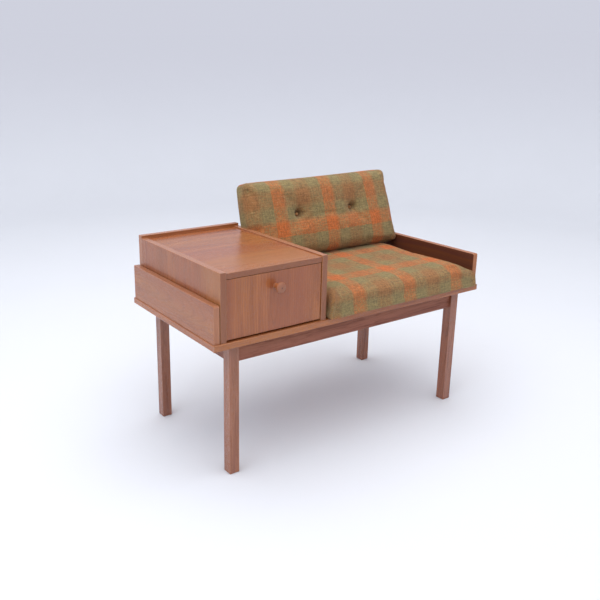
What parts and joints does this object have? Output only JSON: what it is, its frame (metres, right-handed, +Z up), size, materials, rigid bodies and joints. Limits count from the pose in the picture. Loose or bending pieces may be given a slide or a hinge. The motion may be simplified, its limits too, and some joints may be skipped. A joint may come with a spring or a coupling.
{
  "type": "telephone bench",
  "caption": "Low teak bench on square legs: a small cabinet with a pull-out drawer at one end, and a check tweed seat with a leaning tufted back cushion beside it.",
  "frame": {"origin": "on the floor, under the middle of the bench's overall length and depth", "axes": "+X along the bench, from the cabinet to the seat; +Y from the front to the back; +Z up"},
  "size_m": [0.94, 0.474, 0.6851],
  "materials": {
    "teak_grain_x": "satin oiled teak, grain along X",
    "teak_grain_y": "satin oiled teak, grain along Y",
    "teak_grain_z": "satin oiled teak, grain along Z",
    "beech": "raw planed beech",
    "plywood": "raw birch plywood",
    "hardboard": "smooth hardboard",
    "steel": "bright zinc-plated screws",
    "tweed_seat": "coarse wool tweed with an orange, rust and olive check",
    "tweed_back": "coarse wool tweed with an orange, rust and olive check",
    "tweed_button": "button covered in the same tweed"
  },
  "bodies": {
    "bench": {"leg_front_left": "teak_grain_z", "leg_front_right": "teak_grain_z", "leg_rear_left": "teak_grain_z", "leg_rear_right": "teak_grain_z", "rail_front": "teak_grain_x", "rail_rear": "teak_grain_x", "rail_left": "teak_grain_y", "rail_right": "teak_grain_y", "block_front_left": "beech", "block_front_right": "beech", "block_rear_left": "beech", "block_rear_right": "beech", "block_screws": "steel", "base_board": "teak_grain_x", "base_lipping_front": "teak_grain_x", "base_lipping_left": "teak_grain_y", "base_lipping_right": "teak_grain_y", "upstand_left": "teak_grain_y", "upstand_right": "teak_grain_y", "upstand_screws": "steel", "cabinet_side": "teak_grain_z", "cabinet_divider": "teak_grain_z", "cabinet_top": "teak_grain_x", "cabinet_back": "teak_grain_x", "cabinet_screws": "steel", "cabinet_dowels": "beech", "cabinet_back_screws": "steel", "drawer_runner_left": "beech", "drawer_runner_right": "beech", "runner_screws": "steel", "seat_cushion": "tweed_seat", "back_cushion": "tweed_back", "back_button_left": "tweed_button", "back_button_right": "tweed_button", "back_plywood": "plywood", "back_support_left": "teak_grain_z", "back_support_right": "teak_grain_z", "support_screws": "steel", "plywood_screws": "steel"},
    "drawer": {"drawer_front": "teak_grain_z", "drawer_side_left": "beech", "drawer_side_right": "beech", "drawer_back": "beech", "drawer_bottom": "hardboard", "drawer_knob": "teak_grain_z", "knob_screw": "steel"}
  },
  "joints": [
    {"name": "drawer_slide", "type": "slide", "parent": "bench", "child": "drawer", "axis": [0, -1, 0], "range_m": [0, 0.28]}
  ]
}
